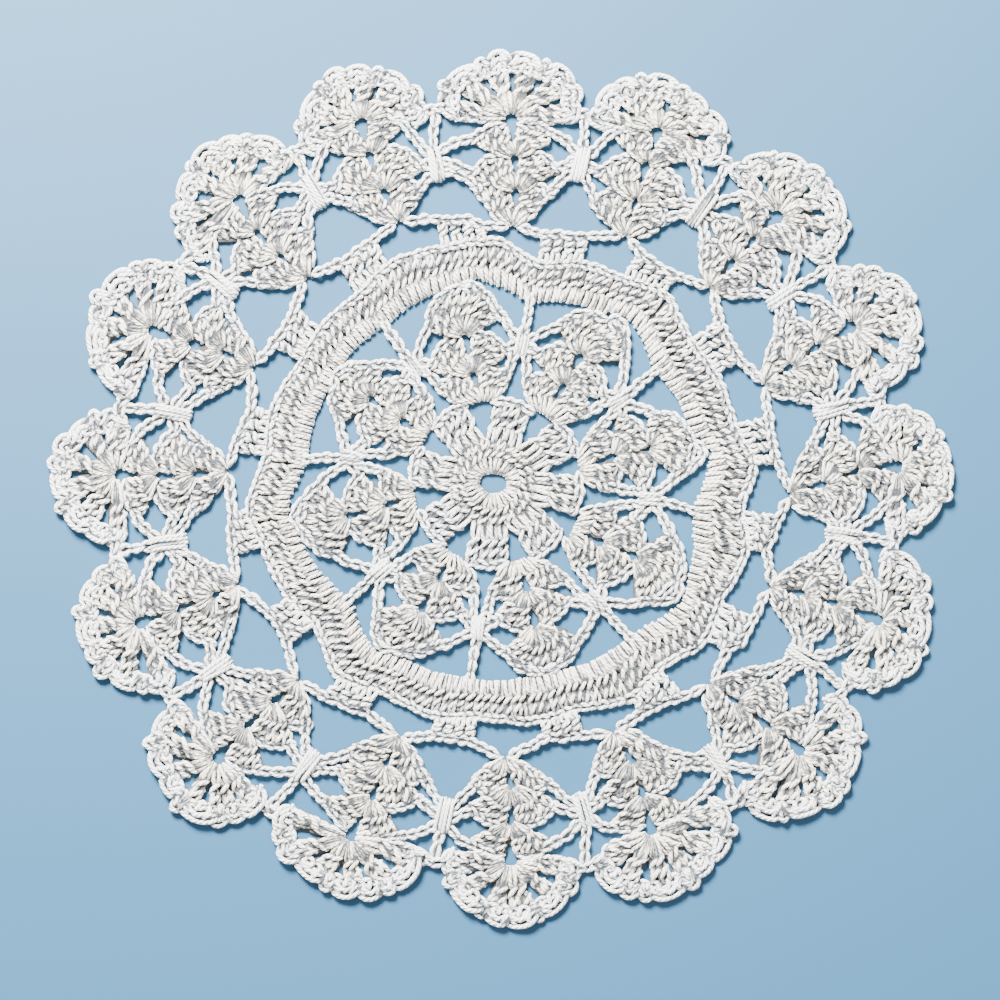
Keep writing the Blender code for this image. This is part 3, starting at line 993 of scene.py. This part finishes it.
def placed(work, centre):
    """The stitches' places as loose points with their aims, sizes and tones."""
    mesh = bpy.data.meshes.new(work.name)
    rows = work.stitches
    mesh.from_pydata([((s.x - centre[0]) * MM, (s.y - centre[1]) * MM, s.z * MM) for s in rows], [], [])
    columns = {
        "aim": ("FLOAT_VECTOR", "vector", [(-atan2(s.tilt, s.tall), 0.0, -radians(s.aim)) for s in rows]),
        "size": ("FLOAT_VECTOR", "vector", [(s.wide * MM, s.tall * MM, MM) for s in rows]),
        "kind": ("INT", "value", [s.kind for s in rows]),
        "warmth": ("FLOAT", "value", [s.warmth for s in rows]),
        "thick": ("FLOAT", "value", [s.thick for s in rows]),
    }
    for name, (kind, field, values) in columns.items():
        column = mesh.attributes.new(name, kind, "POINT")
        for item, value in zip(column.data, values):
            setattr(item, field, value)
    return mesh


def finish_tree(piece, tree, given):
    """Runs a node tree on a piece with these inputs, and makes the result its plain mesh."""
    work = piece.modifiers.new("work", "NODES")
    work.node_group = tree
    for item in tree.interface.items_tree:
        if item.in_out == "INPUT" and item.name in given:
            work[item.identifier] = given[item.name]
    bpy.context.view_layer.update()
    graph = bpy.context.evaluated_depsgraph_get()
    mesh = bpy.data.meshes.new_from_object(piece.evaluated_get(graph))
    piece.modifiers.clear()
    loose = piece.data
    piece.data = mesh
    bpy.data.meshes.remove(loose)
    mesh.name = piece.name


def knit(work, centre, tree, shapes, thread):
    """One piece of yarn: its stitches laid by the node tree, then made a plain mesh."""
    piece = bpy.data.objects.new(work.name, placed(work, centre))
    bpy.context.scene.collection.objects.link(piece)
    finish_tree(piece, tree, {
        "Stitch shapes": shapes, "Thread radius": THREAD_RADIUS * MM, "Sides": THREAD_SIDES,
        "Sway": SWAY * MM, "Relief": RELIEF * MM, "Unevenness": UNEVEN, "Seed": SEED, "Thread": thread,
    })
    return piece


# --- The ground -------------------------------------------


def ground_tree():
    """Swells the stitches' lines into one flat mat with soft edges."""
    group, made, given = new_group("matted_ground", "Stitch lines", (
        ("Cell", "Float"), ("Flatness", "Float"), ("Middle", "Float"), ("Cotton", "Material"),
    ), "Ground")
    runs = made.add("GeometryNodeMeshToCurve", {"Mesh": given("Stitch lines")})
    values = {"Curve": runs, "Length": given("Cell") * 1.2}
    spots = made.add("GeometryNodeCurveToPoints", values, mode="LENGTH")
    values = {"Points": spots, "Voxel Size": given("Cell"), "Radius": made.attribute("reach")}
    swollen = made.add("GeometryNodePointsToVolume", values, resolution_mode="VOXEL_SIZE")
    skin = made.add("GeometryNodeVolumeToMesh", {"Volume": swollen, "Threshold": 0.1, "Adaptivity": 0.4})
    flat = made.joined(X=1.0, Y=1.0, Z=given("Flatness"))
    place = made.vector("MULTIPLY", made.add("GeometryNodeInputPosition"), flat)
    made.ended(made.moved(skin, Position=place, Offset=made.joined(Z=given("Middle"))), given("Cotton"))
    return group


def make_ground(works, centre, cotton):
    """The thin mat of cotton under every stitch, which holds the lace's own gaps; its top is painted in deep
    shade, so the gaps between strands read dark.
    """
    ends, reaches = [], []
    for work in works:
        for s in work.stitches:
            low, high, reach = GROUND_UNDER[s.kind]
            foot = (s.x - centre[0], s.y - centre[1])
            top = step_from(foot, s.aim, s.tall)
            ends += [mid(foot, top, low), mid(foot, top, high)]
            reaches += [reach * MM] * 2
    lines = bpy.data.meshes.new("lace_ground")
    points = [(x * MM, y * MM, 0.0) for x, y in ends]
    lines.from_pydata(points, [(n, n + 1) for n in range(0, len(ends), 2)], [])
    column = lines.attributes.new("reach", "FLOAT", "POINT")
    column.data.foreach_set("value", reaches)
    ground = bpy.data.objects.new("lace_ground", lines)
    bpy.context.scene.collection.objects.link(ground)
    finish_tree(ground, ground_tree(), {
        "Cell": GROUND_CELL * MM, "Flatness": GROUND_FLATNESS,
        "Middle": GROUND_MIDDLE * MM, "Cotton": cotton,
    })
    ground.data.materials.pop(index=0)
    return ground


# --- Materials --------------------------------------------

COOL_COTTON = (0.86, 0.88, 0.89, 1)
CREAM_COTTON = (0.98, 0.885, 0.69, 1)
# painted shade between the fibres, which each stitch's random greying also leans towards
FIBRE_SHADE_AND_TONE = (0.52, 0.53, 0.54, 1)
# painted shade in the grooves between the plies
PAINTED_PLY_SHADE = (0.24, 0.25, 0.26, 1)
# painted shade in the deepest clefts between strands
PAINTED_CLEFT_SHADE = (0.03, 0.037, 0.045, 1)
# the ground's top in painted deep shade, then its back in plain cotton
PAINTED_GROUND_SHADE = ((0.02, 0.021, 0.023, 1), (0.07, 0.068, 0.065, 1))
PLAIN_GROUND = ((0.50, 0.51, 0.52, 1), (0.80, 0.78, 0.74, 1))
TABLE_BLUE = ((0.010, 0.075, 0.15, 1), (0.012, 0.082, 0.165, 1))


def new_material(name):
    material = bpy.data.materials.new(name)
    material.use_nodes = True
    material.node_tree.nodes.clear()
    return material, Nodes(material.node_tree)


def surfaced(made, values):
    """Ends a material's tree in a shader with these values."""
    shader = made.add("ShaderNodeBsdfPrincipled", values, take="BSDF")
    made.add("ShaderNodeOutputMaterial", {"Surface": shader}, take=None)


def mixed(made, share, first, second):
    """A colour between two."""
    return made.add("ShaderNodeMix", {0: share, 6: first, 7: second}, take=2, data_type="RGBA")


def facing_up(made):
    """1 where the surface faces up, -1 where it faces down."""
    normal = made.add("ShaderNodeNewGeometry", take="Normal")
    return made.add("ShaderNodeSeparateXYZ", {0: normal}, take="Z")


def bumped(made, height, strength, distance):
    values = {"Strength": strength, "Distance": distance, "Height": height}
    return made.add("ShaderNodeBump", values, take="Normal")


def cotton_thread():
    """Soft-twisted white cotton: plies, fine fibres, and a tone that warms where stitches spread, with
    painted shade between the fibres, between the plies and in the clefts.
    """
    material, made = new_material("white_cotton_thread")

    def own(name, take="Fac"):
        return made.add("ShaderNodeAttribute", take=take, attribute_name=name)

    place = made.add("ShaderNodeTexCoord", take="Object")
    parts = made.add("ShaderNodeSeparateXYZ", {0: own("around", "Vector")}, take=None)
    x, y = Wire(made, parts.outputs["X"]), Wire(made, parts.outputs["Y"])
    along, shade = own("along"), own("shade")
    # the plies wind round the thread, and the fibres run along them
    loose = made.noise(place, 480.0, 1.0)
    turned = x.maths("ARCTAN2", y, x) + along * (2 * pi / (TWIST_PITCH * MM)) + loose * 1.6
    plies = ((turned * PLIES).sine() * 0.5 + 0.5).power(0.6)
    wrapped = made.joined(
        X=turned.sine() * 1.6 + shade * 40,
        Y=turned.maths("COSINE", turned) * 1.6,
        Z=along * (1 / (FIBRE_LENGTH * MM)),
    )
    fibres = made.noise(wrapped, 2.2, 3.0, Roughness=0.7)
    fluff = made.noise(place, 1500.0, 2.0)
    patches = made.noise(place, 90.0, 2.0)
    # the tone, from the cotton itself through painted shade between the fibres and the plies to the painted
    # shade of the deepest cleft
    warm = (own("warmth") * 0.8 + (patches - 0.5) * 0.9).clamped()
    tone = mixed(made, warm, COOL_COTTON, CREAM_COTTON)
    # painted shade between the fibres, with each stitch's random greying
    tone = mixed(made, (shade * 0.14 + (fibres - 0.44) * 1.8).clamped(), tone, FIBRE_SHADE_AND_TONE)
    # painted shade in the grooves between the plies
    tone = mixed(made, ((1 - plies) * 0.58).clamped(), tone, PAINTED_PLY_SHADE)
    # painted shade in the clefts, darker the nearer other strands stand, and weaker where the thread faces
    # down
    deep = (own("crevice") * 4.2 - 0.95).clamped() * (facing_up(made) * 2.5 + 1.9).clamped()
    tone = mixed(made, deep, tone, PAINTED_CLEFT_SHADE)
    surfaced(made, {
        "Base Color": tone,
        "Roughness": 0.78 + fibres * 0.2,
        "Normal": bumped(made, plies * 0.8 + fibres * 0.5 + fluff * 0.2, 1.0, 0.26 * MM),
        "Specular IOR Level": 0.3,
        "Sheen Weight": 0.25,
        "Sheen Roughness": 0.6,
    })
    return material


def ground_cotton():
    """The flattened cotton under the stitches: painted deep shade on top, and its own plain colour on the
    back.
    """
    material, made = new_material("matted_cotton")
    fluff = made.noise(made.add("ShaderNodeTexCoord", take="Object"), 1400.0, 3.0)
    painted_shade_top = mixed(made, fluff, *PAINTED_GROUND_SHADE)
    plain = mixed(made, fluff, *PLAIN_GROUND)
    # the top, facing up, takes the painted shade; the back keeps the plain cotton
    tone = mixed(made, (facing_up(made) * 3 + 1).clamped(), plain, painted_shade_top)
    surfaced(made, {"Base Color": tone, "Roughness": 0.9, "Normal": bumped(made, fluff, 0.8, 0.2 * MM)})
    return material


def table_paint():
    material, made = new_material("pale_blue_table")
    cloud = made.noise(made.add("ShaderNodeTexCoord", take="Object"), 3.0, 1.0)
    surfaced(made, {"Base Color": mixed(made, cloud, *TABLE_BLUE), "Roughness": 0.6})
    return material


# --- Stage ------------------------------------------------


def add_camera():
    lens = bpy.data.cameras.new("camera")
    lens.sensor_width = 36.0
    lens.lens = 114.4
    lens.clip_start = 0.01
    camera = bpy.data.objects.new("camera", lens)
    camera.location = (-0.0002, -0.0022, 0.7)
    bpy.context.scene.collection.objects.link(camera)
    bpy.context.scene.camera = camera


def add_lamp(name, place, size, power, colour):
    """A round lamp that shines at the middle of the table."""
    lamp = bpy.data.lights.new(name, "AREA")
    lamp.shape = "DISK"
    lamp.size = size
    lamp.energy = power
    lamp.color = colour
    holder = bpy.data.objects.new(name, lamp)
    holder.location = place
    holder.rotation_euler = (-Vector(place)).to_track_quat("-Z", "Y").to_euler()
    bpy.context.scene.collection.objects.link(holder)


def add_stage(low):
    """The table at this height, the lamps and the soft light of the room."""
    mesh = bpy.data.meshes.new("table")
    half = 1.5
    corners = [(-half, -half, low), (half, -half, low), (half, half, low), (-half, half, low)]
    mesh.from_pydata(corners, [], [(0, 1, 2, 3)])
    table = bpy.data.objects.new("table", mesh)
    mesh.materials.append(table_paint())
    bpy.context.scene.collection.objects.link(table)
    add_lamp("key", (-0.22, 0.55, 0.60), size=0.30, power=82.0, colour=(1.0, 0.985, 0.96))
    add_lamp("fill", (0.45, -0.35, 0.8), size=0.8, power=3.0, colour=(0.95, 0.98, 1.0))
    world = bpy.data.worlds.new("soft_room")
    world.use_nodes = True
    background = world.node_tree.nodes["Background"]
    background.inputs["Color"].default_value = (0.93, 0.96, 1.0, 1)
    background.inputs["Strength"].default_value = 0.75
    bpy.context.scene.world = world


def main():
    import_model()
    add_camera()
    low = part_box("doily")[0].z
    centre = outline_middle()
    thread = cotton_thread()
    tree = stitch_tree()
    shapes = stitch_shapes()
    petals = PETALS, PETAL_HOLES, petal_edges, petal_side
    fans = FANS, FAN_HOLES, fan_edges, fan_side
    works = [
        disc_work(),
        paired_work("petals_east", range(0, 4), *petals),
        paired_work("petals_west", range(4, 8), *petals),
        band_work(),
        block_work(),
        paired_work("fans_east", range(0, 8), *fans),
        paired_work("fans_west", range(8, 16), *fans),
        head_work("fan_heads_east", range(0, 8)),
        head_work("fan_heads_west", range(8, 16)),
        edge_work(),
        tie_work(),
    ]
    pieces = [knit(work, centre, tree, shapes, thread) for work in works]
    ground = make_ground(works, centre, ground_cotton())
    for piece in pieces + [ground]:
        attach(piece, "root")
    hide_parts("doily")
    add_stage(low)


main()
